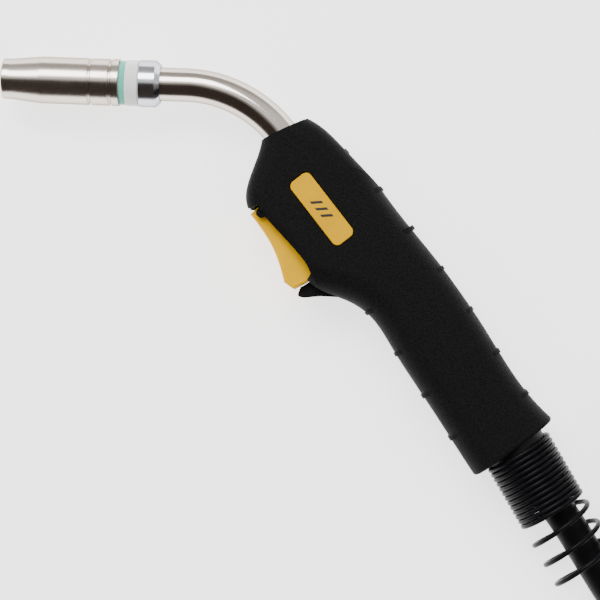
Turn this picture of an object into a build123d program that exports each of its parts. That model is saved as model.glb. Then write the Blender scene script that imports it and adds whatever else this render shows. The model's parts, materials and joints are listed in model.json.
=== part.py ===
from build123d import *
import os
from math import cos, pi, radians, sin, tan

# MIG welding torch, lying on its side. Millimetres, +Z up, table surface at z = 0.
# The gas nozzle points along -X. The torch is symmetric about the plane z = MID_Z.

os.makedirs("parts", exist_ok=True)

# ---------------------------------------------------------------- driving dimensions
MID_Z = 19.0  # half of the handle's thickness, and the height of the plane of symmetry
WALL = 2.6  # handle shell wall
PARTING_GAP = 0.1  # visible joint between two mating shells
RUN_FIT = 0.05  # radial clearance of a running fit
SEAT = 0.05  # radial clearance of a piece seated in the same body

NOZZLE_Y = 86.8
NOZZLE_TIP_X = -138.0
NOZZLE_REAR_X = -80.3
NOZZLE_R = 11.5
NOZZLE_FRONT_R = 9.9
NOZZLE_BORE_R = 10.0
NOZZLE_MOUTH_R = 8.0
GROOVE = 0.7  # depth of the nozzle's two ring grooves
TIP_RECESS = 5.0
TIP_LENGTH = 28.0
TIP_THREAD = 8.0
TIP_R = 4.0
THREAD_R = 3.0
WIRE_BORE_R = 0.6
GAS_PORTS = 8

NECK_OD = 16.4
NECK_ID = 13.6
NECK_BEND_R = 62.0
NECK_BEND_DEG = 50.0
NECK_BEND_X = -47.3  # where the bend starts
NECK_FRONT_X = -70.4
CORE_OD = 10.0
CORE_ID = 6.2
LINER_OD = 4.6
LINER_ID = 1.8

HANDLE_EDGE_R = 14.0  # rounding of the grip
HEAD_EDGE_R = 9.5  # rounding of the narrower head
INNER_EDGE_R = 7.5
TAIL_CORNER_R = 1.6
RIB_PITCH = 24.4
RIB_WIDTH = 2.0
RIB_HEIGHT = 0.7
RIB_COUNT = 7
RIB_INSET = 3.2  # the ribs end this far below the handle's flat sides
RIB_ANGLE = radians(-56.3)
SCREW_R = 1.5
SCREW_HEAD_R = 2.8

CABLE_OD = 16.4
SPRING_OD = 35.0
SPRING_WIRE = 2.55
SPRING_CLOSED_PITCH = 2.62
SPRING_CLOSED_TURNS = 13
SPRING_OPEN_PITCH = 10.8
SPRING_OPEN_TURNS = 3.5
SPRING_START = -3.4  # first turn's centre line
COLLAR_R = 14.9  # the collar that the spring is pushed over
SPRING_ROOM = 0.15  # clearance round the spring's first turns in the handle

COIL_INNER_R = 61.5  # centre line of the innermost turn
COIL_LAYERS = 2
COIL_OUTER_TURNS = 2.5  # turns from the innermost to the outermost one
COIL_CENTRE = (290.0, -101.0)

PLUG_X = 396.6
PLUG_REAR_Y = -42.0
PLUG_Z = 27.5
NUT_R = 27.0
NUT_BORE_R = 20.0
PIN_R = 9.0

TRIGGER_HALF = 12.2  # half of the trigger's width
TRIGGER_EDGE_R = 1.2
SLOT_HALF = 12.6
TRIGGER_PIVOT = (-7.1, 25.0)
TRIGGER_PIN_R = 1.0
PLUNGER_U = 14.0  # distance of the switch plunger from the pivot
TRIGGER_SWEEP_R = 40.5  # room for the swing of the trigger's lower end

# ---------------------------------------------------------------- reference planes
# In each plane, local x runs along the sub-assembly's axis.
bend_turn = radians(NECK_BEND_DEG)
neck_end_x = NECK_BEND_X + NECK_BEND_R * sin(bend_turn)
neck_end_y = NOZZLE_Y - NECK_BEND_R * (1 - cos(bend_turn))
FRONT = Plane(origin=(0, NOZZLE_Y, MID_Z), x_dir=(1, 0, 0), z_dir=(0, 0, 1))
HANDLE = Plane(
    origin=(neck_end_x, neck_end_y, MID_Z),
    x_dir=(cos(bend_turn), -sin(bend_turn), 0),
    z_dir=(0, 0, 1),
)
SPRING_ANGLE = radians(-57.4)
SPRING = Plane(
    origin=(123.3, -87.6, MID_Z),
    x_dir=(cos(SPRING_ANGLE), sin(SPRING_ANGLE), 0),
    z_dir=(0, 0, 1),
)
TRIGGER_ANGLE = radians(-47.0)
TRIGGER = Plane(
    origin=(*TRIGGER_PIVOT, MID_Z),
    x_dir=(cos(TRIGGER_ANGLE), sin(TRIGGER_ANGLE), 0),
    z_dir=(0, 0, 1),
)
PLUG = Plane(origin=(PLUG_X, PLUG_REAR_Y, PLUG_Z), x_dir=(0, 1, 0), z_dir=(0, 0, 1))


# ---------------------------------------------------------------- helpers
def turned(place, *profile, mode=Mode.ADD):
    """Revolve a half profile of (along, radius) points about a plane's x axis."""
    with BuildSketch(place) as half:
        with BuildLine():
            Polyline(*profile, close=True)
        make_face()
    revolve(half.sketch, axis=Axis(place.origin, place.x_dir), mode=mode)


def across(place, along, side=0.0, up=0.0):
    """A plane square to a plane's x axis, at a point given in that plane."""
    return Plane(
        origin=place.from_local_coords((along, side, up)),
        x_dir=place.y_dir,
        z_dir=place.x_dir,
    )


def rod(place, start, end, outer, inner=0.0, side=0.0, up=0.0, mode=Mode.ADD):
    """A round bar or sleeve along a plane's x axis."""
    with BuildSketch(across(place, start, side, up)) as ring:
        Circle(outer)
        if inner:
            Circle(inner, mode=Mode.SUBTRACT)
    extrude(ring.sketch, amount=end - start, mode=mode)


def hexagon(place, start, end, across_flats, inner):
    """A hexagonal nut along a plane's x axis."""
    with BuildSketch(across(place, start)) as outline:
        RegularPolygon(across_flats / 2, 6, major_radius=False)
        Circle(inner, mode=Mode.SUBTRACT)
    extrude(outline.sketch, amount=end - start)


def post(place, x, y, radius, z_low, z_high, mode=Mode.ADD):
    """A round post along Z at (x, y) of a plane that is parallel to XY."""
    spot = place.from_local_coords((x, y, 0))
    with BuildSketch(Plane(origin=(spot.X, spot.Y, z_low))) as disc:
        Circle(radius)
    extrude(disc.sketch, amount=z_high - z_low, mode=mode)


def block(place, x_span, y_span, z_span, mode=Mode.ADD):
    """A box with its sides along a plane's axes."""
    sizes = [high - low for low, high in (x_span, y_span, z_span)]
    middle = [(high + low) / 2 for low, high in (x_span, y_span, z_span)]
    solid = place * Pos(*middle) * Box(*sizes, mode=Mode.PRIVATE)
    add(solid, mode=mode)


def tube(path, outer, inner=0.0):
    """Sweep a ring along a path."""
    with BuildSketch(Plane(origin=path @ 0, z_dir=path % 0)) as ring:
        Circle(outer)
        if inner:
            Circle(inner, mode=Mode.SUBTRACT)
    sweep(ring.sketch, path=path)


def stub(along, low, high, radius, up=0.0, mode=Mode.ADD):
    """A round bar square to the trigger's face, from one depth to another."""
    foot = TRIGGER.from_local_coords((along, low, up))
    with BuildSketch(Plane(origin=foot, x_dir=TRIGGER.x_dir, z_dir=TRIGGER.y_dir)) as disc:
        Circle(radius)
    extrude(disc.sketch, amount=high - low, mode=mode)


def neck_path(front_x, rear_along):
    """The neck's centre line: straight, one bend, straight into the handle."""
    with BuildLine(Plane.XY.offset(MID_Z)) as line:
        front = Line((front_x, NOZZLE_Y), (NECK_BEND_X, NOZZLE_Y))
        bend = JernArc(front @ 1, (1, 0), NECK_BEND_R, -NECK_BEND_DEG)
        Line(bend @ 1, bend @ 1 + (bend % 1) * rear_along)
    return line.wire()


def fillet_radii(points):
    """Corner radii as large as the two runs beside each corner allow."""
    radii = []
    for before, corner, after in zip(points, points[1:], points[2:]):
        into = Vector(*corner) - Vector(*before)
        out = Vector(*after) - Vector(*corner)
        half_turn = radians(into.get_angle(out)) / 2
        radii.append(0.45 * min(into.length, out.length) / tan(half_turn))
    return radii


def cord_path(name, points):
    """Straight runs joined by tangent arcs; prints the arcs' radii."""
    radii = fillet_radii(points)
    print(name, "arc radii", [round(radius, 1) for radius in radii])
    with BuildLine() as line:
        FilletPolyline(*points, radius=radii)
    return line.wire()


def compare_volume(name, cord, path):
    """Print a cable tube's volume beside its section times its length."""
    section = pi * (CABLE_OD / 2) ** 2
    print(name, "volume", round(cord.part.volume), "section x length", round(section * path.length))


# ---------------------------------------------------------------- gas nozzle and contact tip
tip_front = NOZZLE_TIP_X + TIP_RECESS
tip_rear = tip_front + TIP_LENGTH
tip_shoulder = tip_rear - TIP_THREAD

with BuildPart() as gas_nozzle:
    with BuildSketch(FRONT):
        with BuildLine():
            Polyline(
                (NOZZLE_TIP_X, NOZZLE_MOUTH_R),
                (NOZZLE_TIP_X, NOZZLE_FRONT_R),
                (-134.0, NOZZLE_FRONT_R),
                (-119.0, NOZZLE_R),
                (-95.4, NOZZLE_R),
                (-94.9, NOZZLE_R - GROOVE),
                (-94.2, NOZZLE_R - GROOVE),
                (-93.7, NOZZLE_R),
                (-85.3, NOZZLE_R),
                (-84.8, NOZZLE_R - GROOVE),
                (-84.1, NOZZLE_R - GROOVE),
                (-83.6, NOZZLE_R),
                (NOZZLE_REAR_X, NOZZLE_R),
                (NOZZLE_REAR_X, NOZZLE_BORE_R),
                (-101.0, NOZZLE_BORE_R),
                (-103.0, 9.3),
                (-114.0, 9.3),
                (-122.0, NOZZLE_MOUTH_R),
                close=True,
            )
        face = make_face()
        lip = face.vertices().filter_by_position(Axis.X, NOZZLE_TIP_X - 0.01, NOZZLE_TIP_X + 0.01)
        fillet(lip, radius=0.8)
        shoulder = face.vertices().filter_by_position(Axis.X, -134.01, -118.99)
        fillet(shoulder, radius=9.0)
        rim = face.vertices().filter_by_position(Axis.X, NOZZLE_REAR_X - 0.01, NOZZLE_REAR_X + 0.01)
        chamfer(rim.sort_by(Axis.Y)[-1], length=0.4)
    revolve(axis=Axis(FRONT.origin, FRONT.x_dir))

with BuildPart() as contact_tip:
    turned(
        FRONT,
        (tip_front, WIRE_BORE_R),
        (tip_front, 2.6),
        (tip_front + 1.2, 3.4),
        (tip_front + 7.0, TIP_R),
        (tip_shoulder, TIP_R),
        (tip_shoulder, THREAD_R),
        (tip_rear - 0.6, THREAD_R),
        (tip_rear, THREAD_R - 0.5),
        (tip_rear, WIRE_BORE_R),
    )
    for flip in (-1, 1):
        # wrench flats
        block(
            FRONT,
            (tip_shoulder - 9.0, tip_shoulder - 2.5),
            (-TIP_R, TIP_R),
            (flip * 4.3 - 0.9, flip * 4.3 + 0.9),
            mode=Mode.SUBTRACT,
        )

with BuildPart() as tip_holder:
    turned(
        FRONT,
        (tip_shoulder + 0.05, THREAD_R + SEAT),
        (tip_shoulder + 0.05, 5.6),
        (-111.5, 7.0),
        (-94.0, 7.0),
        (-93.0, 7.6),
        (-80.0, 7.6),
        (-80.0, CORE_OD / 2 + SEAT),
        (-90.0, CORE_OD / 2 + SEAT),
        (-90.0, 3.4),
        (-104.0, 3.4),
        (-104.0, THREAD_R + SEAT),
    )
    for index in range(GAS_PORTS // 2):
        turn = Rot(X=index * 360.0 / GAS_PORTS)
        drill = Pos(-99.0, NOZZLE_Y, MID_Z) * turn * Cylinder(1.0, 20.0, mode=Mode.PRIVATE)
        add(drill, mode=Mode.SUBTRACT)
    for flip in (-1, 1):
        block(FRONT, (-110.0, -104.0), (-8.0, 8.0), (flip * 7.0 - 1.0, flip * 7.0 + 1.0), mode=Mode.SUBTRACT)

with BuildPart() as insulator_ring:
    turned(
        FRONT,
        (-92.0, 7.65),
        (-92.0, 9.4),
        (-91.5, 9.95 - SEAT),
        (-89.5, 9.95 - SEAT),
        (-89.5, 8.7),
        (-84.5, 8.7),
        (-84.5, 9.95 - SEAT),
        (-77.0, 9.95 - SEAT),
        (-77.0, 10.9),
        (-76.6, 11.3),
        (-71.0, 11.3),
        (-70.5, 10.9),
        (-70.5, CORE_OD / 2 + SEAT),
        (-79.9, CORE_OD / 2 + SEAT),
        (-79.9, 7.65),
    )

with BuildPart() as nozzle_spring:
    grip = Helix(
        pitch=0.95,
        height=3.8,
        radius=9.3,
        center=(-88.9, NOZZLE_Y, MID_Z),
        direction=(1, 0, 0),
        mode=Mode.PRIVATE,
    )
    tube(grip, 0.42)

with BuildPart() as seal_ring:
    turned(
        FRONT,
        (-79.9, 9.95),
        (-79.9, 10.5),
        (-79.5, 10.8),
        (-77.5, 10.8),
        (-77.1, 10.5),
        (-77.1, 9.95),
    )

with BuildPart() as neck_collar:
    turned(
        FRONT,
        (-70.4, NECK_OD / 2 + SEAT),
        (-70.4, NOZZLE_R - 0.3),
        (-70.1, NOZZLE_R),
        (-62.3, NOZZLE_R),
        (-60.0, 9.4),
        (-60.0, NECK_OD / 2 + SEAT),
    )

# ---------------------------------------------------------------- swan neck
NECK_INSERT = 30.0  # how far the neck reaches into the handle
BLOCK_END = 60.0
CONNECTOR_END = 100.0

outer_path = neck_path(NECK_FRONT_X, NECK_INSERT)
with BuildPart() as neck_outer_tube:
    tube(outer_path, NECK_OD / 2, NECK_ID / 2)

with BuildPart() as neck_insulation_sleeve:
    tube(outer_path, NECK_ID / 2 - SEAT, CORE_OD / 2 + SEAT)

with BuildPart() as neck_inner_tube:
    tube(neck_path(-89.95, NECK_INSERT + 10.0), CORE_OD / 2, CORE_ID / 2)

with BuildPart() as wire_liner:
    tube(neck_path(tip_rear + 0.3, CONNECTOR_END - 1.0), LINER_OD / 2, LINER_ID / 2)

with BuildPart() as neck_block:
    turned(
        HANDLE,
        (26.0, NECK_OD / 2 + SEAT),
        (26.0, 9.9),
        (26.6, 10.5),
        (49.4, 10.5),
        (50.0, 9.9),
        (50.0, 7.0),
        (BLOCK_END, 7.0),
        (BLOCK_END, 3.3),
        (NECK_INSERT + 10.05, 3.3),
        (NECK_INSERT + 10.05, CORE_OD / 2 + SEAT),
        (NECK_INSERT + 0.05, CORE_OD / 2 + SEAT),
        (NECK_INSERT + 0.05, NECK_OD / 2 + SEAT),
    )

# ---------------------------------------------------------------- cable connector in the handle
with BuildPart() as cable_connector:
    turned(
        HANDLE,
        (BLOCK_END + 0.05, 2.7),
        (BLOCK_END + 0.05, 6.0),
        (BLOCK_END + 4.0, 6.9),
        (BLOCK_END + 7.0, 6.9),
        (BLOCK_END + 7.0, 6.0),
        (BLOCK_END + 14.0, 6.0),
        (BLOCK_END + 14.0, 5.5),
        (CONNECTOR_END, 5.5),
        (CONNECTOR_END, 2.7),
    )

with BuildPart() as connector_nut:
    hexagon(HANDLE, 51.0, 70.0, 18.0, 7.0 + SEAT)
    rod(HANDLE, BLOCK_END + 7.1, 70.0, 8.0, 6.1)

CRIMP_START = 78.0
CRIMP_END = 102.0
cable_turn = Vector(103.8, -58.8, MID_Z)  # where the neck's line meets the spring's axis
cable_exit = SPRING.from_local_coords((-5.0, 0, 0))

with BuildPart() as crimp_sleeve:
    turned(
        HANDLE,
        (CRIMP_START - 2.0, 5.6),
        (CRIMP_START - 2.0, 9.2),
        (CRIMP_START + 5.0, 9.2),
        (CRIMP_START + 6.0, 8.9),
        (CRIMP_START + 10.0, 8.9),
        (CRIMP_START + 11.0, 9.2),
        (CRIMP_END, 9.2),
        (CRIMP_END, CABLE_OD / 2 + SEAT),
        (CRIMP_START - 0.05, CABLE_OD / 2 + SEAT),
        (CRIMP_START - 0.05, 5.6),
    )

with BuildPart() as cable_handle_end:
    start = HANDLE.from_local_coords((CRIMP_START, 0, 0))
    tube(cord_path("cable_handle_end", [start, cable_turn, cable_exit]), CABLE_OD / 2)
    rod(HANDLE, CRIMP_START - 1.0, CONNECTOR_END + 0.5, 5.55, mode=Mode.SUBTRACT)

# ---------------------------------------------------------------- handle outline
HEAD_LEFT = (-8.6, 60.2)
HEAD_RIGHT = (13.5, 71.7)
TAIL_LEFT = (101.4, -98.3)
TAIL_RIGHT = (137.9, -68.9)
GRIP_BACK = [(49.9, 39.7), (80.5, 3.6), (103.9, -27.4), (121.1, -52.0), TAIL_RIGHT]
GRIP_BELLY = [TAIL_LEFT, (80.3, -68.4), (58.7, -38.0), (46.3, -22.0), (32.2, -14.6)]
HEAD_BACK = [HEAD_RIGHT, (22.3, 66.4), (29.8, 59.6)]
HEAD_BELLY = [(18, -8.5), (4, 6), (-10, 20.5), (-15.1, 31), (-13.7, 42), HEAD_LEFT]
WIDE_BACK = [(26, 86), (36, 62)]
WIDE_BELLY = [(0, -8), (-26, 20), (-30, 50), (-20, 86)]


def outline(back, belly):
    """Close the back and belly curves with straight lines at head and tail."""
    with BuildSketch() as face:
        with BuildLine():
            top = Spline(*back)
            bottom = Spline(*belly)
            Line(top @ 1, bottom @ 0)
            Line(bottom @ 1, top @ 0)
        make_face()
    return face.sketch


def rounded(face, low, high, radius):
    """Extrude an outline and round its long edges."""
    with BuildPart() as slab:
        extrude(Pos(0, 0, low) * face, amount=high - low)
        ends = slab.edges().group_by(Axis.Z)
        long_edges = [edge for edge in ends[0] + ends[-1] if edge.geom_type != GeomType.LINE]
        fillet(long_edges, radius=radius)
    return slab.part


def shifted(points, amount):
    """Points moved square to the handle's axis."""
    return [(x + amount * HANDLE.y_dir.X, y + amount * HANDLE.y_dir.Y) for x, y in points]


def inner_curve(points):
    """Points of a side curve moved one wall thickness inwards, and back from its two ends."""
    places = [Vector(*point) for point in points]
    moved = []
    for before, here, after in zip(places[:1] + places[:-1], places, places[1:] + places[-1:]):
        along = (after - before).normalized()
        moved.append(here + WALL * Vector(along.Y, -along.X))
    moved[0] += WALL * 1.1 * (places[1] - places[0]).normalized()
    moved[-1] += WALL * 1.1 * (places[-2] - places[-1]).normalized()
    return [(point.X, point.Y) for point in moved]


def tail_distance(edge):
    """How far an edge's middle is from the nearer tail corner, seen from above."""
    middle = Vector(edge.center().X, edge.center().Y)
    return min((middle - Vector(*corner)).length for corner in (TAIL_LEFT, TAIL_RIGHT))


true_outline = outline(HEAD_BACK + GRIP_BACK, GRIP_BELLY + HEAD_BELLY)
wide_outline = outline(WIDE_BACK + GRIP_BACK, GRIP_BELLY + WIDE_BELLY)
inner_outline = outline(inner_curve(HEAD_BACK + GRIP_BACK), inner_curve(GRIP_BELLY + HEAD_BELLY))

grip_round = rounded(wide_outline, 0, 2 * MID_Z, HANDLE_EDGE_R)

with BuildPart() as handle_blank:
    add(rounded(true_outline, 0, 2 * MID_Z, HEAD_EDGE_R))
    add(grip_round, mode=Mode.INTERSECT)
    fillet([edge for edge in handle_blank.edges() if tail_distance(edge) < 6.0], radius=TAIL_CORNER_R)

# cross ribs that stand proud at the back and the belly only
back_proud = shifted(HEAD_BACK + GRIP_BACK, RIB_HEIGHT)
belly_proud = shifted(GRIP_BELLY + HEAD_BELLY, -RIB_HEIGHT)
proud = rounded(outline(back_proud, belly_proud), RIB_INSET, 2 * MID_Z - RIB_INSET, HEAD_EDGE_R)
grip_ribs = []
for index in range(RIB_COUNT):
    spot = HANDLE.from_local_coords((26.8 + RIB_PITCH * index, 21.0, 0))
    rib_plane = Plane(origin=spot, x_dir=(cos(RIB_ANGLE), sin(RIB_ANGLE), 0), z_dir=(0, 0, 1))
    back_slab = rib_plane * Pos(0, -2.0, 0) * Box(RIB_WIDTH, 14.0, 2 * MID_Z)
    grip_ribs.append(proud & back_slab)
    if index > 2:
        belly_slab = rib_plane * Pos(0, -44.0, 0) * Box(RIB_WIDTH, 16.0, 2 * MID_Z)
        grip_ribs.append(proud & belly_slab)

# ---------------------------------------------------------------- trigger pocket, in trigger coordinates
with BuildSketch(TRIGGER) as pocket_face:
    with BuildLine():
        Polyline((38.1, -1.1), (39.7, -7.1), (40.6, -8.6), (44, -20), (-12, -20), (-9, -7), (-5.0, -2.2))
        Polyline((-5.0, -2.2), (-3.8, 1.2), (0.1, 0.4))
        Spline((0.1, 0.4), (12.0, 0.5), (26.6, 0.9), (33.1, 0.5), (38.1, -1.1))
    make_face()

with BuildSketch(TRIGGER) as slot_face:
    with BuildLine():
        Polyline(
            (-4.1, -4.0),
            (-4.1, 3.9),
            (3.5, 4.6),
            (35.5, 9.6),
            (39.7, 8.6),
            (40.8, 0.0),
            (40.2, -7.0),
            (40.0, -18.0),
            (-4.1, -18.0),
            close=True,
        )
    make_face()

HOOK_HALF = 7.0  # half width of the finger stop under the trigger
with BuildSketch(Plane.XY.offset(MID_Z)) as hook_face:
    with BuildLine():
        Polyline(
            (12.1, -12.5),
            (14.0, -8.0),
            (20.0, -4.0),
            (34, -8),
            (32.2, -14.3),
            (22.4, -14.2),
            (14.6, -15.2),
            (11.8, -14.7),
            close=True,
        )
    hook = make_face()
    fillet(hook.vertices().sort_by(Axis.X)[:2], radius=1.0)

# ---------------------------------------------------------------- inside of the handle
SCREW_SPOTS = [(12.0, 13.0), (14.0, -17.5), (64.0, 16.0), (98.0, -15.2), (122.0, 15.6), (152.0, -16.8)]
BOSS_R = 4.2
SWITCH_U = (8.0, 28.0)
SWITCH_N = (6.6, 16.4)
SWITCH_HALF = 3.2

with BuildPart() as hollow:
    add(rounded(inner_outline, WALL, 2 * MID_Z - WALL, INNER_EDGE_R))
    for along in (6.0, 19.0):
        block(HANDLE, (along, along + 3), (-15, 40), (-MID_Z, MID_Z), mode=Mode.SUBTRACT)
    for along in (40.0, 88.0, 132.0):
        block(HANDLE, (along, along + 3), (-8.5, 40), (-MID_Z, MID_Z), mode=Mode.SUBTRACT)
    for along in (112.0, 134.0):
        block(HANDLE, (along, along + 3), (-40, -8), (-MID_Z, MID_Z), mode=Mode.SUBTRACT)
    for along, side in SCREW_SPOTS:
        post(HANDLE, along, side, BOSS_R, 0, 2 * MID_Z, mode=Mode.SUBTRACT)
    # seat of the trigger's return spring
    block(TRIGGER, (28.8, 34.6), (12.0, 14.5), (-MID_Z, MID_Z), mode=Mode.SUBTRACT)
    for along in (12.0, 24.0):
        # posts that carry the switch
        post(TRIGGER, along, 13.5, 2.6, 0, MID_Z - SWITCH_HALF - 0.02, mode=Mode.SUBTRACT)
        post(TRIGGER, along, 13.5, 2.6, MID_Z + SWITCH_HALF + 0.02, 2 * MID_Z, mode=Mode.SUBTRACT)
        post(TRIGGER, along, 13.5, 1.1, 0, MID_Z - PARTING_GAP, mode=Mode.SUBTRACT)

with BuildPart() as housing:
    add(handle_blank.part)
    add(grip_ribs)
    extrude(pocket_face.sketch, amount=MID_Z + 1, both=True, mode=Mode.SUBTRACT)
    extrude(slot_face.sketch, amount=SLOT_HALF, both=True, mode=Mode.SUBTRACT)
    extrude(hook_face.sketch, amount=HOOK_HALF, both=True)
    with BuildSketch(TRIGGER):
        Circle(TRIGGER_SWEEP_R)
        with Locations((0, 40)):
            Rectangle(100, 63, mode=Mode.SUBTRACT)
    extrude(amount=HOOK_HALF + 0.5, both=True, mode=Mode.SUBTRACT)
    add(hollow.part, mode=Mode.SUBTRACT)
    # bores for the neck, its block, the crimp and the cable
    rod(HANDLE, -6, 27, NECK_OD / 2 + SEAT, mode=Mode.SUBTRACT)
    rod(HANDLE, 25.8, 52, 10.5 + SEAT, mode=Mode.SUBTRACT)
    rod(HANDLE, 52, 104, 10.6, mode=Mode.SUBTRACT)
    rod(HANDLE, 104, 170, CABLE_OD / 2 + 0.4, mode=Mode.SUBTRACT)
    rod(SPRING, -20.2, -9.8, 16.0 + SEAT, mode=Mode.SUBTRACT)
    rod(SPRING, -10, 0, COLLAR_R + SEAT, mode=Mode.SUBTRACT)
    pocket_start = SPRING_START - SPRING_WIRE / 2 - SPRING_ROOM
    rod(SPRING, pocket_start, 12, SPRING_OD / 2 + SPRING_ROOM, mode=Mode.SUBTRACT)
    for flip in (-1, 1):
        # ears that carry the trigger's pin
        with BuildSketch(TRIGGER.offset(flip * (SLOT_HALF + 0.05))):
            Circle(2.4)
        extrude(amount=flip * 3.1)
    post(TRIGGER, 0, 0, TRIGGER_PIN_R + 0.02, 0, 2 * MID_Z, mode=Mode.SUBTRACT)

BADGE_AT = (42.4, -6.8)  # along and across the handle's axis
BADGE_SIZE = (38.0, 11.8)
BADGE_TOP = 2 * MID_Z - 0.1

with BuildPart() as handle_shell_upper:
    add(housing.part)
    block(HANDLE, (-60, 260), (-90, 90), (-MID_Z - 1, PARTING_GAP / 2), mode=Mode.SUBTRACT)
    with BuildSketch(HANDLE.offset(MID_Z - 1.3)):
        with Locations(BADGE_AT):
            RectangleRounded(BADGE_SIZE[0] + 1.0, BADGE_SIZE[1] + 1.0, 3.5)
    extrude(amount=5, mode=Mode.SUBTRACT)
    for along, side in SCREW_SPOTS:
        post(HANDLE, along, side, SCREW_R + 0.02, 0, 31.0, mode=Mode.SUBTRACT)

with BuildPart() as handle_shell_lower:
    add(housing.part)
    block(HANDLE, (-60, 260), (-90, 90), (-PARTING_GAP / 2, MID_Z + 1), mode=Mode.SUBTRACT)
    for along, side in SCREW_SPOTS:
        post(HANDLE, along, side, SCREW_R + 0.2, 0, MID_Z + 1, mode=Mode.SUBTRACT)
        post(HANDLE, along, side, SCREW_HEAD_R + 0.2, -1, 8.0, mode=Mode.SUBTRACT)

with BuildPart() as badge:
    with BuildSketch(HANDLE.offset(BADGE_TOP - MID_Z - 1.15)):
        with Locations(BADGE_AT):
            RectangleRounded(*BADGE_SIZE, 3.0)
    extrude(amount=1.15)
    chamfer(badge.faces().sort_by(Axis.Z)[-1].edges(), length=0.25)

with BuildPart() as handle_screws:
    for along, side in SCREW_SPOTS:
        post(HANDLE, along, side, SCREW_HEAD_R, 5.8, 8.0)
        post(HANDLE, along, side, SCREW_R, 8.0, 30.0)
        for turn in (0, 90):
            spot = HANDLE.from_local_coords((along, side, 0))
            cross = Pos(spot.X, spot.Y, 6.4) * Rot(Z=turn) * Box(3.4, 0.7, 1.4, mode=Mode.PRIVATE)
            add(cross, mode=Mode.SUBTRACT)

# ---------------------------------------------------------------- trigger
SPRING_U = 31.6  # the return spring's distance from the pivot
SPRING_LOW = 3.4
TRIGGER_RECESS = [(5.0, -3.2), (16.0, -4.6), (31.5, -10.8), (36.0, -9.8), (37.4, -2.0), (35.5, 8), (5.0, 8)]

with BuildPart() as trigger:
    with BuildSketch(TRIGGER):
        with BuildLine():
            front = Spline((-3.1, -4.5), (8.4, -5.4), (16.1, -6.8), (24.0, -9.5), (32.6, -13.6))
            Polyline(front @ 1, (38.0, -12.3), (39.8, -3.0), (37.4, 3.2), (3.5, 3.2), (-3.3, 1.3), front @ 0)
        profile = make_face()
        fillet(profile.vertices().sort_by(Axis.X)[:1], radius=2.2)
    extrude(amount=TRIGGER_HALF, both=True)
    cheeks = trigger.faces().filter_by(Axis.Z)
    fillet([edge for cheek in cheeks for edge in cheek.outer_wire().edges()], radius=TRIGGER_EDGE_R)
    # moulded hollow on each side of the middle web
    for flip in (-1, 1):
        with BuildSketch(TRIGGER.offset(flip * 6.1)):
            with BuildLine():
                Polyline(*TRIGGER_RECESS, close=True)
            make_face()
        extrude(amount=4.0, both=True, mode=Mode.SUBTRACT)
    # pad under the return spring
    stub(SPRING_U, -9.0, SPRING_LOW - 0.1, 3.3)
    post(TRIGGER, 0, 0, TRIGGER_PIN_R + RUN_FIT, 0, 2 * MID_Z, mode=Mode.SUBTRACT)

with BuildPart() as trigger_pin:
    post(TRIGGER, 0, 0, TRIGGER_PIN_R, MID_Z - 15.6, MID_Z + 15.6)

with BuildPart() as trigger_spring:
    coil_axis = TRIGGER.y_dir
    coil_foot = TRIGGER.from_local_coords((SPRING_U, SPRING_LOW + 0.35, 0))
    return_helix = Helix(
        pitch=1.5,
        height=7.5,
        radius=2.4,
        center=coil_foot,
        direction=coil_axis,
        mode=Mode.PRIVATE,
    )
    tube(return_helix, 0.3)

# ---------------------------------------------------------------- switch behind the trigger
PLUNGER_TIP = 3.5
with BuildPart() as microswitch_body:
    block(TRIGGER, SWITCH_U, SWITCH_N, (-SWITCH_HALF, SWITCH_HALF))
    fillet(microswitch_body.edges().filter_by(Axis.Z), radius=0.6)
    stub(PLUNGER_U, SWITCH_N[0] - 0.8, SWITCH_N[0] + 0.1, 2.4)
    stub(PLUNGER_U, SWITCH_N[0] - 1.0, SWITCH_N[0] + 3.0, 1.2 + RUN_FIT, mode=Mode.SUBTRACT)
    for along in (12.0, 24.0):
        post(TRIGGER, along, 13.5, 1.15, 0, 2 * MID_Z, mode=Mode.SUBTRACT)

with BuildPart() as microswitch_plunger:
    stub(PLUNGER_U, PLUNGER_TIP, SWITCH_N[0] + 1.2, 1.2)
    fillet(microswitch_plunger.faces().sort_by(Axis(TRIGGER.origin, TRIGGER.y_dir))[0].edges(), radius=0.5)

TERMINALS = (11.0, 18.0, 25.0)
TERMINAL_END = SWITCH_N[1] + 2.4
with BuildPart() as switch_terminals:
    for along in TERMINALS:
        block(TRIGGER, (along - 1.4, along + 1.4), (SWITCH_N[1] + 0.02, TERMINAL_END), (-0.25, 0.25))

WIRE_R = 0.7
with BuildPart() as control_wires:
    for along, side, height in ((TERMINALS[0], 18.2, 1.1), (TERMINALS[2], 18.6, -1.1)):
        wire_route = [
            TRIGGER.from_local_coords((along, side, height)),
            TRIGGER.from_local_coords((31.0, side + 0.2, height)),
            TRIGGER.from_local_coords((42.0, side - 3.0, height * 2)),
            HANDLE.from_local_coords((78.0, -12.6, height * 2)),
            HANDLE.from_local_coords((92.0, -10.0, height * 2)),
            HANDLE.from_local_coords((111.0, -9.9, height * 2)),
        ]
        tube(cord_path("control_wire", wire_route), WIRE_R)

# ---------------------------------------------------------------- strain relief and cable
closed_length = SPRING_CLOSED_PITCH * SPRING_CLOSED_TURNS
spring_mean_r = (SPRING_OD - SPRING_WIRE) / 2

with BuildPart() as spring_collar:
    turned(
        SPRING,
        (-20.0, CABLE_OD / 2 + 1.2),
        (-20.0, 15.4),
        (-19.4, 16.0),
        (-10.2, 16.0),
        (-10.2, COLLAR_R),
        (12.0, COLLAR_R),
        (14.0, COLLAR_R - 0.7),
        (14.0, 13.4),
        (0.0, CABLE_OD / 2 + 1.2),
    )

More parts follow.
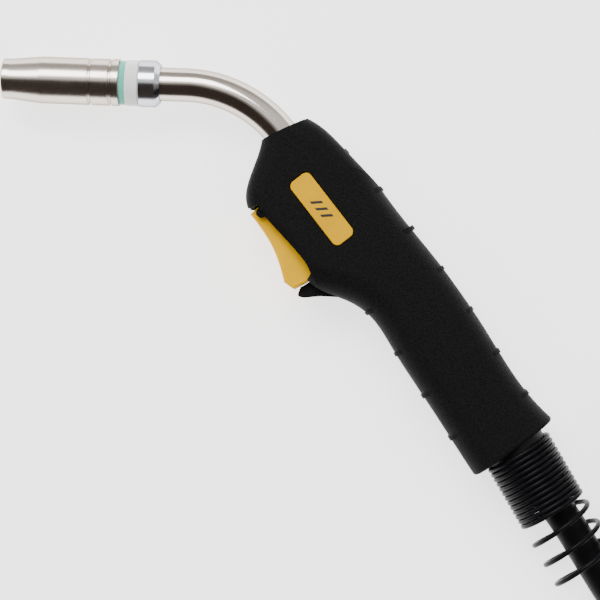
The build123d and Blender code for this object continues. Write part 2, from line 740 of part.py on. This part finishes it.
with BuildPart() as strain_relief_spring:
    for offset_along, pitch, turns in (
        (SPRING_START, SPRING_CLOSED_PITCH, SPRING_CLOSED_TURNS),
        (SPRING_START + closed_length, SPRING_OPEN_PITCH, SPRING_OPEN_TURNS),
    ):
        coil_turns = Helix(
            pitch=pitch,
            height=pitch * turns,
            radius=spring_mean_r,
            center=SPRING.from_local_coords((offset_along, 0, 0)),
            direction=SPRING.x_dir,
            mode=Mode.PRIVATE,
        )
        tube(coil_turns, SPRING_WIRE / 2)

FLOOR_Z = CABLE_OD / 2
coil_x, coil_y = COIL_CENTRE
coil_outer_r = COIL_INNER_R + COIL_OUTER_TURNS * CABLE_OD
ROUTE = [
    tuple(cable_exit),
    tuple(SPRING.from_local_coords((13.0, 0, 0))),
    (145.0, -115.5, 17.6),
    (158.2, -135.0, 14.9),
    (175.5, -161.0, 10.4),
    (201.0, -185.5, FLOOR_Z),
    (235.0, -200.0, FLOOR_Z),
    (268.0, coil_y - coil_outer_r, FLOOR_Z),
]
with BuildPart() as cable_run:
    run_path = cord_path("cable_run", ROUTE)
    tube(run_path, CABLE_OD / 2)
compare_volume("cable_run", cable_run, run_path)

coil_height = COIL_LAYERS * CABLE_OD
with BuildPart() as cable_coil:
    with BuildSketch(Plane((coil_x, coil_y, 0))):
        Circle(coil_outer_r + CABLE_OD / 2)
        Circle(COIL_INNER_R - CABLE_OD / 2, mode=Mode.SUBTRACT)
    extrude(amount=coil_height)
    fillet(cable_coil.edges(), radius=7.0)

LEAD_ROUTE = [
    (PLUG_X, coil_y, 1.5 * CABLE_OD),
    (PLUG_X + 0.3, coil_y + 25.0, 1.5 * CABLE_OD + 0.7),
    (PLUG_X, coil_y + 51.0, PLUG_Z - 0.1),
    (PLUG_X, coil_y + 80.0, PLUG_Z),
    (PLUG_X, coil_y + 108.0, PLUG_Z - 0.1),
    (PLUG_X, coil_y + 136.0, PLUG_Z),
]
with BuildPart() as cable_lead:
    lead_path = cord_path("cable_lead", LEAD_ROUTE)
    tube(lead_path, CABLE_OD / 2)
compare_volume("cable_lead", cable_lead, lead_path)

# ---------------------------------------------------------------- plug
HOUSING_START = 42.0
HOUSING_END = 106.0
HUB_R = 17.4
BODY_R = 10.5
with BuildPart() as plug_boot:
    turned(
        PLUG,
        (0, CABLE_OD / 2 + 0.3),
        (0, 10.0),
        (1.0, 10.8),
        (36.0, 13.6),
        (44.5, 14.2),
        (44.5, 16.0),
        (49.0, 16.0),
        (49.0, CABLE_OD / 2 + 0.3),
    )
    for index in range(6):
        # ring grooves that let the boot flex
        turned(
            PLUG,
            (5.0 + 5.2 * index, 10.2 + 0.42 * index),
            (5.0 + 5.2 * index, 20.0),
            (7.2 + 5.2 * index, 20.0),
            (7.2 + 5.2 * index, 10.2 + 0.42 * index),
            mode=Mode.SUBTRACT,
        )

HOUSING_SCREWS = [(58.0, 15.8), (58.0, -15.8), (80.0, 16.6), (80.0, -16.6)]
with BuildPart() as plug_housing:
    turned(
        PLUG,
        (HOUSING_START, 14.3),
        (HOUSING_START, 17.0),
        (44.0, 18.6),
        (60.0, 22.8),
        (98.0, 23.8),
        (100.0, NUT_R + 0.5),
        (HOUSING_END - 0.6, NUT_R + 0.5),
        (HOUSING_END, NUT_R - 0.1),
        (HOUSING_END, HUB_R + SEAT),
        (102.0, HUB_R + SEAT),
        (102.0, 20.9),
        (60.0, 20.0),
        (52.0, 17.0),
        (49.1, 16.1),
        (44.4, 16.1),
        (44.4, 14.3),
    )
    for along, side in HOUSING_SCREWS:
        post(PLUG, along, side, 3.6, PLUG_Z - 15.4, PLUG_Z + 10.5)
    with BuildSketch(across(PLUG, 90.0)):
        Circle(21.0)
        Circle(BODY_R + SEAT, mode=Mode.SUBTRACT)
    extrude(amount=-3.0)

with BuildPart() as plug_housing_upper:
    add(plug_housing.part)
    split(bisect_by=Plane.XY.offset(PLUG_Z + PARTING_GAP / 2), keep=Keep.TOP)
    for along, side in HOUSING_SCREWS:
        post(PLUG, along, side, SCREW_R + 0.02, 0, PLUG_Z + 10, mode=Mode.SUBTRACT)

with BuildPart() as plug_housing_lower:
    add(plug_housing.part)
    split(bisect_by=Plane.XY.offset(PLUG_Z - PARTING_GAP / 2), keep=Keep.BOTTOM)
    for along, side in HOUSING_SCREWS:
        post(PLUG, along, side, SCREW_R + 0.2, 0, PLUG_Z + 1, mode=Mode.SUBTRACT)
        post(PLUG, along, side, SCREW_HEAD_R + 0.2, 0, PLUG_Z - 11.0, mode=Mode.SUBTRACT)

with BuildPart() as plug_housing_screws:
    for along, side in HOUSING_SCREWS:
        post(PLUG, along, side, SCREW_HEAD_R, PLUG_Z - 13.2, PLUG_Z - 11.0)
        post(PLUG, along, side, SCREW_R, PLUG_Z - 11.0, PLUG_Z + 9.0)

PIN_START = HOUSING_END + 6.0
PIN_END = 142.0
PIN_RELIEF = 2.2  # length of the groove at the pin's root, which the face's rim surrounds
with BuildPart() as plug_body:
    turned(
        PLUG,
        (78.6, 3.2),
        (78.6, 7.0),
        (84.0, 7.0),
        (85.0, BODY_R),
        (PIN_START, BODY_R),
        (PIN_START, PIN_R - 0.4),
        (PIN_START + PIN_RELIEF, PIN_R - 0.4),
        (PIN_START + PIN_RELIEF, PIN_R),
        (PIN_END - 1.2, PIN_R),
        (PIN_END, PIN_R - 1.2),
        (PIN_END, 5.5),
        (PIN_END + 9.2, 5.5),
        (PIN_END + 10.0, 4.7),
        (PIN_END + 10.0, 3.2),
    )
    turned(
        PLUG,
        (PIN_END + 3.0, 4.6),
        (PIN_END + 3.0, 6.0),
        (PIN_END + 5.2, 6.0),
        (PIN_END + 5.2, 4.6),
        mode=Mode.SUBTRACT,
    )

with BuildPart() as plug_crimp:
    turned(
        PLUG,
        (66.0, CABLE_OD / 2 + 0.3),
        (66.0, 9.4),
        (81.0, 9.4),
        (81.0, 7.0 + SEAT),
        (78.5, 7.0 + SEAT),
        (78.5, CABLE_OD / 2 + 0.3),
    )

with BuildPart() as gas_seal_ring:
    with BuildSketch(PLUG):
        with Locations((PIN_END + 4.1, 5.55)):
            Circle(0.9)
    revolve(axis=Axis(PLUG.origin, PLUG.x_dir))

with BuildPart() as liner_nut:
    hexagon(PLUG, PIN_END + 10.05, PIN_END + 15.0, 9.5, 1.3)
    chamfer(liner_nut.faces().sort_by(Axis.Y)[-1].outer_wire().edges(), length=0.5)

CONTACT_SIDE = 14.0
FACE_START = 101.0
FLANGE_START = 109.5
with BuildPart() as plug_face:
    turned(
        PLUG,
        (FACE_START, BODY_R + SEAT),
        (FACE_START, HUB_R),
        (FLANGE_START, HUB_R),
        (FLANGE_START, 19.6),
        (PIN_START + 1.5, 19.6),
        (PIN_START + 2.0, 19.1),
        (PIN_START + 2.0, PIN_R + 0.3),
        (PIN_START + 0.05, PIN_R + 0.3),
        (PIN_START + 0.05, BODY_R + SEAT),
    )
    for flip in (-1, 1):
        rod(PLUG, 100, PIN_START + 3, 2.0 + RUN_FIT, side=flip * CONTACT_SIDE, mode=Mode.SUBTRACT)

NUT_START = 106.4
NUT_END = 138.0
with BuildPart() as plug_nut:
    turned(
        PLUG,
        (NUT_START, HUB_R + 0.1),
        (NUT_START, NUT_R - 1.2),
        (NUT_START + 1.2, NUT_R),
        (NUT_END - 1.5, NUT_R),
        (NUT_END, NUT_R - 1.5),
        (NUT_END, NUT_BORE_R + 1.0),
        (NUT_END - 1.0, NUT_BORE_R),
        (FLANGE_START - 0.2, NUT_BORE_R),
        (FLANGE_START - 0.2, HUB_R + 0.1),
    )
    with BuildSketch(across(PLUG, NUT_START + 4.0)):
        with PolarLocations(NUT_R + 1.0, 18):
            Circle(2.4)
    extrude(amount=NUT_END, mode=Mode.SUBTRACT)

with BuildPart() as contact_sockets:
    for flip in (-1, 1):
        rod(PLUG, 90.1, 100.9, 2.7, side=flip * CONTACT_SIDE)
        rod(PLUG, 91.4, 101.0, 2.0 + RUN_FIT, side=flip * CONTACT_SIDE, mode=Mode.SUBTRACT)

with BuildPart() as contact_springs:
    for flip in (-1, 1):
        pin_helix = Helix(
            pitch=1.0,
            height=4.0,
            radius=1.4,
            center=PLUG.from_local_coords((91.7, flip * CONTACT_SIDE, 0)),
            direction=PLUG.x_dir,
            mode=Mode.PRIVATE,
        )
        tube(pin_helix, 0.2)


def contact_pin(side):
    """A sprung control contact with a domed tip."""
    with BuildPart() as pin:
        rod(PLUG, 96.2, 121.5, 2.0, side=side)
        fillet(pin.faces().sort_by(Axis.Y)[-1].edges(), radius=1.2)
    return pin


contact_pin_left = contact_pin(CONTACT_SIDE)
contact_pin_right = contact_pin(-CONTACT_SIDE)

# ---------------------------------------------------------------- files
pieces = {
    "gas_nozzle": gas_nozzle,
    "contact_tip": contact_tip,
    "tip_holder": tip_holder,
    "nozzle_spring": nozzle_spring,
    "insulator_ring": insulator_ring,
    "seal_ring": seal_ring,
    "neck_collar": neck_collar,
    "neck_outer_tube": neck_outer_tube,
    "neck_insulation_sleeve": neck_insulation_sleeve,
    "neck_inner_tube": neck_inner_tube,
    "wire_liner": wire_liner,
    "neck_block": neck_block,
    "cable_connector": cable_connector,
    "connector_nut": connector_nut,
    "crimp_sleeve": crimp_sleeve,
    "cable_handle_end": cable_handle_end,
    "handle_shell_upper": handle_shell_upper,
    "handle_shell_lower": handle_shell_lower,
    "handle_screws": handle_screws,
    "badge": badge,
    "trigger": trigger,
    "trigger_pin": trigger_pin,
    "trigger_spring": trigger_spring,
    "microswitch_body": microswitch_body,
    "microswitch_plunger": microswitch_plunger,
    "switch_terminals": switch_terminals,
    "control_wires": control_wires,
    "spring_collar": spring_collar,
    "strain_relief_spring": strain_relief_spring,
    "cable_run": cable_run,
    "cable_coil": cable_coil,
    "cable_lead": cable_lead,
    "plug_boot": plug_boot,
    "plug_housing_upper": plug_housing_upper,
    "plug_housing_lower": plug_housing_lower,
    "plug_housing_screws": plug_housing_screws,
    "plug_body": plug_body,
    "plug_crimp": plug_crimp,
    "gas_seal_ring": gas_seal_ring,
    "liner_nut": liner_nut,
    "plug_face": plug_face,
    "plug_nut": plug_nut,
    "contact_sockets": contact_sockets,
    "contact_springs": contact_springs,
    "contact_pin_left": contact_pin_left,
    "contact_pin_right": contact_pin_right,
}
for name, piece in pieces.items():
    piece.part.label = name
    export_step(piece.part, f"parts/{name}.step")
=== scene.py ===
import json
from math import atan, cos, pi, radians, sin

import bmesh
import bpy
from mathutils import Matrix, Vector


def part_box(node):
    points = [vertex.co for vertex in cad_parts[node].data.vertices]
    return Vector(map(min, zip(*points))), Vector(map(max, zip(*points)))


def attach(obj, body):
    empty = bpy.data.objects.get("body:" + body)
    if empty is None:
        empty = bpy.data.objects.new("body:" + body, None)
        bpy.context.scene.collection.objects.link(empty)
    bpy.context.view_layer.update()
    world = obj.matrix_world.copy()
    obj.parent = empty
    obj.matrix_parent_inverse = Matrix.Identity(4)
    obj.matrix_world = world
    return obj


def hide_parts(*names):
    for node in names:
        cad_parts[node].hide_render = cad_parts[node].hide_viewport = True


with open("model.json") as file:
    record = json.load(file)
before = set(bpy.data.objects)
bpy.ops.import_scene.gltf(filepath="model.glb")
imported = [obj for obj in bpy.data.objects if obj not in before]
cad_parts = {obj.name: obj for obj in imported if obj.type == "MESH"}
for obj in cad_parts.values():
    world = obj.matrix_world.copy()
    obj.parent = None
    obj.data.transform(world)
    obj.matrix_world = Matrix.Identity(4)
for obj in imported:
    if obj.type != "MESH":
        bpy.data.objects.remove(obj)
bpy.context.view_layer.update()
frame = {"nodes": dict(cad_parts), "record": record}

# MIG welding torch on a pale studio floor. Metres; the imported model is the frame.
nodes = frame["nodes"]
scene = bpy.context.scene
MM = 0.001


def link(thing):
    """Put an object in the scene and hand it back."""
    scene.collection.objects.link(thing)
    return thing


# ---------------------------------------------------------------- camera
MID_Z = 19.0 * MM
AIM = Vector((12.7 * MM, -16.4 * MM, MID_Z))
ROLL = radians(2.35)
image_right = Vector((cos(ROLL), sin(ROLL), 0))
image_up = Vector((-sin(ROLL), cos(ROLL), 0))
FIELD = 294.0 * MM  # width of the view at the torch's mid plane
HEIGHT = 1.0045  # camera above the mid plane
SIDEWAYS = 49.0 * MM  # camera to the right of what it aims at

eye = AIM + HEIGHT * Vector((0, 0, 1)) + SIDEWAYS * image_right
backward = (eye - AIM).normalized()
across = image_up.cross(backward).normalized()
upward = backward.cross(across)
camera_data = bpy.data.cameras.new("camera")
camera_data.sensor_width = 36.0
camera_data.angle = 2 * atan(FIELD / 2 / (eye - AIM).length)
camera = link(bpy.data.objects.new("camera", camera_data))
turned = Matrix((across, upward, backward)).transposed().to_4x4()
camera.matrix_world = Matrix.Translation(eye) @ turned
scene.camera = camera


# ---------------------------------------------------------------- cable
CABLE_R = 8.2 * MM
COIL_X = 290.0 * MM
COIL_Y = -101.0 * MM
COIL_INNER_R = 61.5 * MM
COIL_OUTER_R = 102.5 * MM
PLUG_X = 396.6 * MM
# degrees round the coil: the lower layer winds inwards, the cable climbs, the upper layer winds outwards
COIL_START = -90
LOWER_END = 810
CLIMB_END = 870
COIL_END = 1800
COIL_STEP = 20  # between the points of a turn
SPRING_ANGLE = radians(-57.4)
spring_axis = Vector((cos(SPRING_ANGLE), sin(SPRING_ANGLE), 0))
spring_foot = Vector((123.3 * MM, -87.6 * MM, MID_Z))
cable_exit = spring_foot - 5.0 * MM * spring_axis

# out of the strain relief, down to the floor and along it to the coil
route = [
    tuple(cable_exit),
    tuple(spring_foot + 13.0 * MM * spring_axis),
    (0.1450, -0.1155, 0.0176),
    (0.1582, -0.1350, 0.0149),
    (0.1755, -0.1610, 0.0104),
    (0.2010, -0.1855, CABLE_R),
    (0.2350, -0.2000, CABLE_R),
    (0.2680, COIL_Y - COIL_OUTER_R, CABLE_R),
]
# control points stand a little outside the turns that the spline then follows
outside = 1 / cos(radians(COIL_STEP / 2))
for angle in range(COIL_START + COIL_STEP, COIL_END, COIL_STEP):
    if angle <= LOWER_END:
        part = (angle - COIL_START) / (LOWER_END - COIL_START)
        radius = COIL_OUTER_R + part * (COIL_INNER_R - COIL_OUTER_R)
        height = CABLE_R
    elif angle <= CLIMB_END:
        part = (angle - LOWER_END) / (CLIMB_END - LOWER_END)
        radius = COIL_INNER_R
        height = CABLE_R + part * 2 * CABLE_R
    else:
        part = (angle - CLIMB_END) / (COIL_END - CLIMB_END)
        radius = COIL_INNER_R + part * (PLUG_X - COIL_X - COIL_INNER_R)
        height = 3 * CABLE_R
    turn = radians(angle)
    reach = outside * radius
    route.append((COIL_X + reach * cos(turn), COIL_Y + reach * sin(turn), height))
# off the coil and straight into the plug's boot
route += [
    (PLUG_X, COIL_Y, 0.0246),
    (PLUG_X + 0.0003, COIL_Y + 0.025, 0.0253),
    (PLUG_X, COIL_Y + 0.051, 0.0274),
    (PLUG_X, COIL_Y + 0.080, 0.0275),
    (PLUG_X, COIL_Y + 0.108, 0.0274),
    (PLUG_X, COIL_Y + 0.136, 0.0275),
]
cable_curve = bpy.data.curves.new("cable", "CURVE")
cable_curve.dimensions = "3D"
line = cable_curve.splines.new("NURBS")
line.points.add(len(route) - 1)
for point, place in zip(line.points, route):
    point.co = (*place, 1)
    point.radius = CABLE_R
line.order_u = 3
line.use_endpoint_u = True
line.resolution_u = 8
cable_curve.bevel_depth = 1.0  # multiplied by each point's radius
cable_curve.bevel_resolution = 8
cable_curve.use_fill_caps = True
cable = link(bpy.data.objects.new("cable", cable_curve))
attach(cable, "torch")
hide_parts("cable_run", "cable_coil", "cable_lead")


# ---------------------------------------------------------------- materials
NOISE_LOW = 0.3  # most of a noise's values lie between these two
NOISE_HIGH = 0.7
ALIKE = (1, 1, 1)  # a noise that is the same size in all directions
ROUND_X = (14, 1, 1)  # brushed round a piece that lies along X
ROUND_Y = (1, 14, 1)


class Look:
    """A principled material whose detail follows the piece's own coordinates."""

    def __init__(self, name, colour, roughness, metallic=0.0, specular=0.5, edge=None):
        self.name = name
        self.material = bpy.data.materials.new(f"{name}_finish")
        self.material.use_nodes = True
        self.tree = self.material.node_tree
        self.shader = self.tree.nodes["Principled BSDF"]
        self.colour = (*colour, 1)
        self.roughness = roughness
        self.shader.inputs["Base Color"].default_value = self.colour
        self.shader.inputs["Roughness"].default_value = roughness
        self.shader.inputs["Metallic"].default_value = metallic
        self.shader.inputs["Specular IOR Level"].default_value = specular
        if edge:
            # a plated metal's colour where it is seen at a flat angle
            self.shader.inputs["Specular Tint"].default_value = (*edge, 1)
        self.height = None
        self.place = self.tree.nodes.new("ShaderNodeTexCoord").outputs["Object"]

    def noise(self, size, stretch=ALIKE, detail=3.0):
        """Noise with features of about the given size, in metres."""
        scale = self.tree.nodes.new("ShaderNodeMapping")
        scale.inputs["Scale"].default_value = stretch
        self.tree.links.new(self.place, scale.inputs["Vector"])
        noise = self.tree.nodes.new("ShaderNodeTexNoise")
        noise.inputs["Scale"].default_value = 1 / size
        noise.inputs["Detail"].default_value = detail
        self.tree.links.new(scale.outputs["Vector"], noise.inputs["Vector"])
        return noise.outputs["Fac"]

    def ranged(self, value, low, high):
        """Map the middle of a noise's range to low..high."""
        span = self.tree.nodes.new("ShaderNodeMapRange")
        span.inputs["From Min"].default_value = NOISE_LOW
        span.inputs["From Max"].default_value = NOISE_HIGH
        span.inputs["To Min"].default_value = low
        span.inputs["To Max"].default_value = high
        self.tree.links.new(value, span.inputs["Value"])
        return span.outputs["Result"]

    def uneven(self, size, amount, stretch=ALIKE):
        """Vary the gloss."""
        low = self.roughness - amount
        high = self.roughness + amount
        value = self.ranged(self.noise(size, stretch), low, high)
        self.tree.links.new(value, self.shader.inputs["Roughness"])
        return self

    def tinted(self, size, other, stretch=ALIKE):
        """Vary the colour between the base colour and another."""
        mix = self.tree.nodes.new("ShaderNodeMix")
        mix.data_type = "RGBA"
        mix.inputs["A"].default_value = self.colour
        mix.inputs["B"].default_value = (*other, 1)
        share = self.ranged(self.noise(size, stretch), 0, 1)
        self.tree.links.new(share, mix.inputs["Factor"])
        self.tree.links.new(mix.outputs["Result"], self.shader.inputs["Base Color"])
        return self

    def grain(self, size, depth, stretch=ALIKE, detail=2.0):
        """Raise a fine surface texture, depth in metres; may be used more than once."""
        bump = self.tree.nodes.new("ShaderNodeBump")
        bump.inputs["Strength"].default_value = 1.0
        bump.inputs["Distance"].default_value = depth
        self.tree.links.new(self.noise(size, stretch, detail), bump.inputs["Height"])
        if self.height:
            self.tree.links.new(self.height, bump.inputs["Normal"])
        self.height = bump.outputs["Normal"]
        self.tree.links.new(self.height, self.shader.inputs["Normal"])
        return self


looks = [
    Look("nickel_nozzle", (0.68, 0.62, 0.56), 0.20, 1.0, edge=(0.46, 0.41, 0.36))
    .uneven(4 * MM, 0.05, ROUND_X)
    .grain(4 * MM, 0.008 * MM, ROUND_X)
    .tinted(30 * MM, (0.63, 0.57, 0.51)),
    Look("nickel_neck", (0.67, 0.61, 0.55), 0.13, 1.0, edge=(0.44, 0.39, 0.34))
    .uneven(12 * MM, 0.04)
    .grain(2.5 * MM, 0.004 * MM)
    .tinted(26 * MM, (0.62, 0.56, 0.50)),
    Look("chrome_collar", (0.63, 0.64, 0.68), 0.16, 1.0, edge=(0.42, 0.43, 0.47))
    .uneven(3 * MM, 0.05, ROUND_X)
    .grain(3 * MM, 0.01 * MM, ROUND_X),
    Look("copper", (0.64, 0.30, 0.17), 0.32, 1.0)
    .uneven(3 * MM, 0.08)
    .grain(2 * MM, 0.006 * MM, ROUND_X)
    .tinted(5 * MM, (0.46, 0.20, 0.12)),
    Look("brass", (0.72, 0.53, 0.24), 0.28, 1.0)
    .uneven(4 * MM, 0.07)
    .grain(2 * MM, 0.006 * MM, ROUND_Y)
    .tinted(9 * MM, (0.60, 0.43, 0.18)),
    Look("spring_steel", (0.55, 0.55, 0.56), 0.3, 1.0)
    .grain(1.0 * MM, 0.004 * MM)
    .uneven(2 * MM, 0.06)
    .tinted(6 * MM, (0.42, 0.42, 0.44)),
    Look("screw_steel", (0.50, 0.50, 0.52), 0.36, 1.0)
    .uneven(1.5 * MM, 0.08)
    .grain(0.8 * MM, 0.01 * MM)
    .tinted(4 * MM, (0.40, 0.40, 0.42)),
    Look("white_insulator", (0.96, 0.955, 0.94), 0.6, specular=0.4)
    .grain(0.9 * MM, 0.04 * MM)
    .uneven(2 * MM, 0.1)
    .tinted(3.5 * MM, (0.88, 0.87, 0.86)),
    Look("teal_ring", (0.16, 0.62, 0.48), 0.5, specular=0.15)
    .grain(1 * MM, 0.01 * MM)
    .tinted(4 * MM, (0.12, 0.55, 0.42)),
    Look("sleeve_black", (0.005, 0.005, 0.005), 0.5, specular=0.2)
    .grain(0.7 * MM, 0.02 * MM)
    .uneven(5 * MM, 0.08),
    Look("handle_plastic", (0.0045, 0.0045, 0.0047), 0.52, specular=0.035)
    .grain(0.8 * MM, 0.2 * MM, detail=4.0)
    .grain(14 * MM, 0.05 * MM)
    .uneven(18 * MM, 0.05)
    .tinted(0.9 * MM, (0.0105, 0.0105, 0.0108)),
    Look("badge_yellow", (0.74, 0.385, 0.0), 0.42, specular=0.02)
    .grain(0.6 * MM, 0.008 * MM)
    .uneven(6 * MM, 0.06)
    .tinted(16 * MM, (0.80, 0.43, 0.0)),
    Look("trigger_yellow", (0.92, 0.50, 0.0), 0.42, specular=0.03)
    .grain(0.5 * MM, 0.012 * MM)
    .uneven(7 * MM, 0.05)
    .tinted(12 * MM, (0.80, 0.43, 0.0)),
    Look("trigger_red", (0.42, 0.02, 0.015), 0.35)
    .grain(0.6 * MM, 0.01 * MM)
    .tinted(3 * MM, (0.36, 0.017, 0.013)),
    Look("switch_plastic", (0.03, 0.03, 0.032), 0.5).grain(0.5 * MM, 0.015 * MM).uneven(3 * MM, 0.08),
    Look("wire_insulation", (0.30, 0.02, 0.015), 0.4)
    .grain(1 * MM, 0.01 * MM)
    .tinted(4 * MM, (0.25, 0.016, 0.012)),
    Look("black_spring", (0.004, 0.004, 0.005), 0.30, specular=0.08)
    .grain(1.6 * MM, 0.015 * MM)
    .uneven(3 * MM, 0.07)
    .tinted(5 * MM, (0.006, 0.006, 0.007)),
    Look("cable_rubber", (0.004, 0.004, 0.0045), 0.42, specular=0.07)
    .grain(0.8 * MM, 0.012 * MM)
    .grain(22 * MM, 0.12 * MM)
    .uneven(15 * MM, 0.07)
    .tinted(20 * MM, (0.006, 0.006, 0.0065)),
    Look("boot_rubber", (0.006, 0.006, 0.006), 0.55, specular=0.15)
    .grain(0.6 * MM, 0.02 * MM)
    .uneven(6 * MM, 0.07),
    Look("plug_plastic", (0.007, 0.007, 0.0075), 0.5, specular=0.15)
    .grain(0.4 * MM, 0.025 * MM, detail=4.0)
    .uneven(12 * MM, 0.06)
    .tinted(8 * MM, (0.010, 0.010, 0.0105)),
    Look("nut_plastic", (0.008, 0.008, 0.0085), 0.42, specular=0.2)
    .grain(0.5 * MM, 0.02 * MM)
    .uneven(9 * MM, 0.07)
    .tinted(7 * MM, (0.011, 0.011, 0.0115)),
    Look("mark_ink", (0.010, 0.010, 0.011), 0.45).grain(0.4 * MM, 0.004 * MM).uneven(2 * MM, 0.06),
]
materials = {look.name: look.material for look in looks}


def dress(piece, slot):
    """Give a piece one material."""
    piece.data.materials.clear()
    piece.data.materials.append(materials[slot])


for subpart in frame["record"]["subparts"]:
    dress(nodes[subpart["node"]], subpart["material_slot"])
dress(nodes["trigger_pin"], "black_spring")  # blackened, like the spring wire
dress(cable, "cable_rubber")


# ---------------------------------------------------------------- badge mark: three slanted stripes
badge_low, badge_high = (Vector(corner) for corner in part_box("badge"))
BADGE_ANGLE = radians(-50.0)
INK = 0.04 * MM  # the print's thickness
STRIPE = 1.5 * MM
STRIPE_REACH = 2.4 * MM  # from the middle of a stripe to its end
SLANT = 1.6 * MM
STRIPE_PITCH = 4.0 * MM

# a stripe's lower corners are 0 to 3 and its upper corners 4 to 7
SLAB_FACES = (
    (0, 3, 2, 1),
    (4, 5, 6, 7),
    (0, 1, 5, 4),
    (1, 2, 6, 5),
    (2, 3, 7, 6),
    (3, 0, 4, 7),
)

corners = []
faces = []
for offset in (-STRIPE_PITCH, 0.0, STRIPE_PITCH):
    outline = (
        (offset - STRIPE / 2 - SLANT, -STRIPE_REACH),
        (offset + STRIPE / 2 - SLANT, -STRIPE_REACH),
        (offset + STRIPE / 2 + SLANT, STRIPE_REACH),
        (offset - STRIPE / 2 + SLANT, STRIPE_REACH),
    )
    first = len(corners)
    corners += [(x, y, z) for z in (0, INK) for x, y in outline]
    faces += [[first + corner for corner in face] for face in SLAB_FACES]
middle = (badge_low + badge_high) / 2
on_badge = Matrix.Translation((middle.x, middle.y, badge_high.z))
slanted = Matrix.Rotation(BADGE_ANGLE, 4, "Z")
mark_data = bpy.data.meshes.new("badge_mark")
mark_data.from_pydata(corners, [], faces)
mark_data.transform(on_badge @ slanted)
badge_mark = link(bpy.data.objects.new("badge_mark", mark_data))
dress(badge_mark, "mark_ink")
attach(badge_mark, "torch")


# ---------------------------------------------------------------- floor, world and lights
FLOOR_REACH = 12.0
FLOOR_GAP = 0.0002  # under the lowest pieces
FLOOR_GLOW = 2.0  # brings the paper close to white

floor_mesh = bmesh.new()
bmesh.ops.create_grid(floor_mesh, x_segments=1, y_segments=1, size=FLOOR_REACH)
floor_data = bpy.data.meshes.new("floor")
floor_mesh.to_mesh(floor_data)
floor_mesh.free()
floor = link(bpy.data.objects.new("floor", floor_data))
floor.location.z = -FLOOR_GAP
paper = Look("floor_paper", (0.90, 0.90, 0.895), 0.8, specular=0.2)
paper.grain(3 * MM, 0.01 * MM)
paper.uneven(0.2, 0.05)
floor_data.materials.append(paper.material)
paper.shader.inputs["Emission Color"].default_value = (1, 1, 1, 1)
paper.shader.inputs["Emission Strength"].default_value = FLOOR_GLOW

# The sky is bright on the +Y side and dark brown on the -Y side, with a pale horizon all round,
# which draws one bright and one dark band along polished tubes.
world = bpy.data.worlds.new("studio")
scene.world = world
world.use_nodes = True
sky = world.node_tree
sky_shader = sky.nodes["Background"]
direction = sky.nodes.new("ShaderNodeTexCoord")
parts = sky.nodes.new("ShaderNodeSeparateXYZ")
sky.links.new(direction.outputs["Generated"], parts.inputs["Vector"])


def ramp(source, *stops):
    """A colour ramp over (place, (r, g, b)) stops."""
    node = sky.nodes.new("ShaderNodeValToRGB")
    band = node.color_ramp
    while len(band.elements) < len(stops):
        band.elements.new(0.5)
    for element, (place, colour) in zip(band.elements, stops):
        element.position = place
        element.color = (*colour, 1)
    sky.links.new(source, node.inputs["Fac"])
    return node.outputs["Color"]


shift = sky.nodes.new("ShaderNodeMapRange")
shift.inputs["From Min"].default_value = -1.0
shift.inputs["From Max"].default_value = 1.0
sky.links.new(parts.outputs["Y"], shift.inputs["Value"])
side = ramp(
    shift.outputs["Result"],
    (0.00, (0.06, 0.045, 0.04)),
    (0.42, (0.045, 0.035, 0.03)),
    (0.49, (0.35, 0.33, 0.31)),
    (0.52, (1.0, 1.0, 1.0)),
    (0.86, (1.0, 1.0, 1.0)),
    (0.95, (0.55, 0.52, 0.49)),
)
level = ramp(parts.outputs["Z"], (0.06, (1, 1, 1)), (0.20, (0, 0, 0)))
blend = sky.nodes.new("ShaderNodeMix")
blend.data_type = "RGBA"
blend.inputs["B"].default_value = (0.78, 0.77, 0.76, 1)
sky.links.new(level, blend.inputs["Factor"])
sky.links.new(side, blend.inputs["A"])
sky.links.new(blend.outputs["Result"], sky_shader.inputs["Color"])
sky_shader.inputs["Strength"].default_value = 1.0


def softbox(name, place, target, size, power, mirrored=False):
    """A large soft lamp that faces a point; reflections show it only if mirrored."""
    data = bpy.data.lights.new(name, "AREA")
    data.shape = "RECTANGLE"
    data.size, data.size_y = size
    data.energy = power
    lamp = link(bpy.data.objects.new(name, data))
    lamp.location = place
    lamp.rotation_euler = (Vector(target) - Vector(place)).to_track_quat("-Z", "Y").to_euler()
    lamp.visible_camera = False
    lamp.visible_glossy = mirrored


softbox("key", (-0.5, 1.2, 1.9), (0.08, -0.02, 0.0), (1.6, 1.0), 46.0, mirrored=True)
softbox("fill", (1.6, -0.9, 1.7), (0.1, -0.05, 0.0), (1.6, 1.2), 16.0)
softbox("left", (-1.7, -0.6, 1.3), (0.0, 0.0, 0.0), (1.2, 1.2), 12.0)
